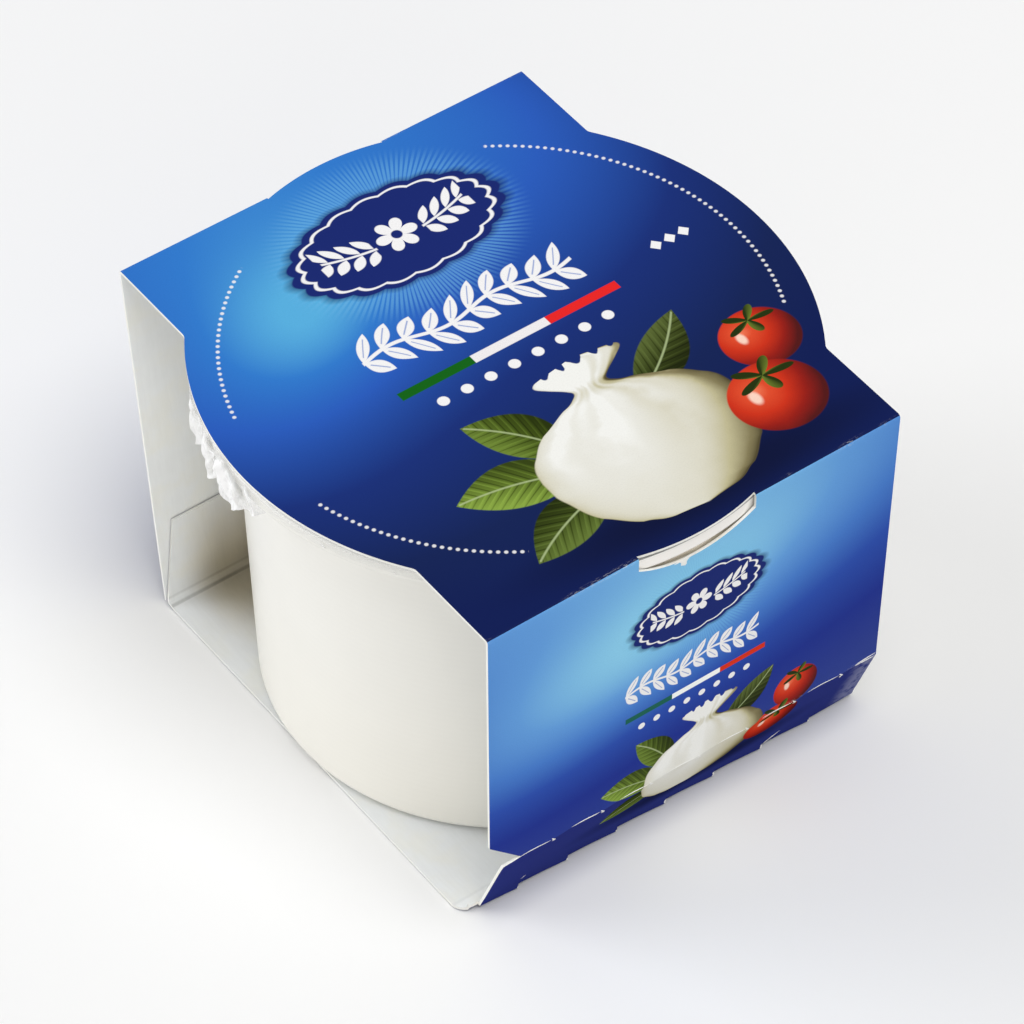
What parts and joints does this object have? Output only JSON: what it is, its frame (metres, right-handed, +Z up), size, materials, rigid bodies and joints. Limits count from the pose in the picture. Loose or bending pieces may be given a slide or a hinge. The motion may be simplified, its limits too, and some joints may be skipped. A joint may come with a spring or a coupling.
{
  "type": "burrata pack: round plastic tub in a printed board sleeve",
  "caption": "Shut round white tub with a clear film lid, in a folded blue board sleeve with arched top edges, rim slots and a perforated tear strip.",
  "frame": {"origin": "middle of the pack's footprint, on the surface that it stands on", "axes": "+X along the front fold, +Y from the front wall to the back wall, +Z up"},
  "size_m": [0.0938, 0.0947, 0.0677],
  "materials": {
    "printed_board": "satin",
    "tub_plastic": "satin",
    "clear_film": "gloss"
  },
  "bodies": {
    "root": {"sleeve": "printed_board", "tub": "tub_plastic", "lid_film": "clear_film"}
  },
  "joints": []
}
